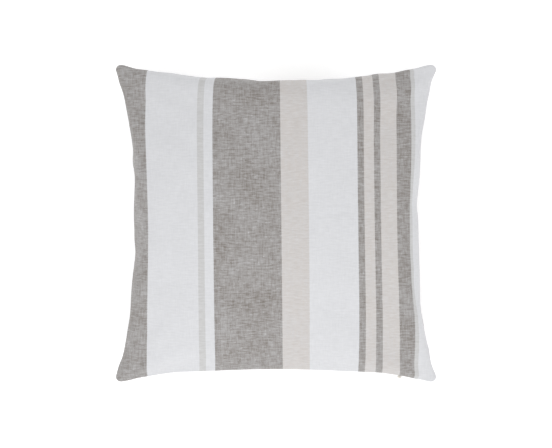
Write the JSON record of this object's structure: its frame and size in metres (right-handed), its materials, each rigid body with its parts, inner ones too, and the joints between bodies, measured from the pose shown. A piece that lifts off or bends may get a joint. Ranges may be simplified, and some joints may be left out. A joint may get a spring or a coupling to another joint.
{
  "type": "throw pillow",
  "caption": "Square knife-edge throw pillow in yarn-dyed striped linen: zipped removable cover over a stuffed insert, plump in the middle with pointed corners.",
  "frame": {"origin": "middle of the flat patch of the back panel that the pillow rests on", "axes": "+Z out of the front panel's crown, +X along the zip towards its closed end, +Y to the edge opposite the zip"},
  "size_m": [0.486, 0.486, 0.174],
  "materials": {
    "linen": "yarn-dyed striped linen and cotton, matt",
    "cambric": "plain down-proof cotton",
    "filling": "loose polyester fibre",
    "thread": "spun polyester",
    "zip_tape": "herringbone polyester tape",
    "zip_coil": "nylon monofilament coil",
    "enamel": "semi-gloss enamel on zinc",
    "satin": "polyester satin, blank"
  },
  "bodies": {
    "pillow": {"cover_front_panel": "linen", "cover_back_panel": "linen", "cover_seam_thread": "thread", "insert_front_panel": "cambric", "insert_back_panel": "cambric", "insert_seam_thread": "thread", "fibre_filling": "filling", "zip_tape_front": "zip_tape", "zip_tape_back": "zip_tape", "zip_coil_front": "zip_coil", "zip_coil_back": "zip_coil", "zip_stitching_front": "thread", "zip_stitching_back": "thread", "zip_top_stop_front": "enamel", "zip_top_stop_back": "enamel", "zip_bottom_stop": "enamel", "care_label": "satin"},
    "slider": {"zip_slider_body": "enamel"},
    "pull": {"zip_pull_tab": "enamel"}
  },
  "joints": [
    {"name": "zip_travel", "type": "hinge", "parent": "pillow", "child": "slider", "pos_m": [0, -1.36556, 0.082], "axis": [0, 0, 1], "range_deg": [0, 18.96]},
    {"name": "pull_swing", "type": "hinge", "parent": "slider", "child": "pull", "pos_m": [0.18864, -0.23566, 0.082], "axis": [-0.9863, 0.1647, 0], "range_deg": [-15, 155]}
  ]
}
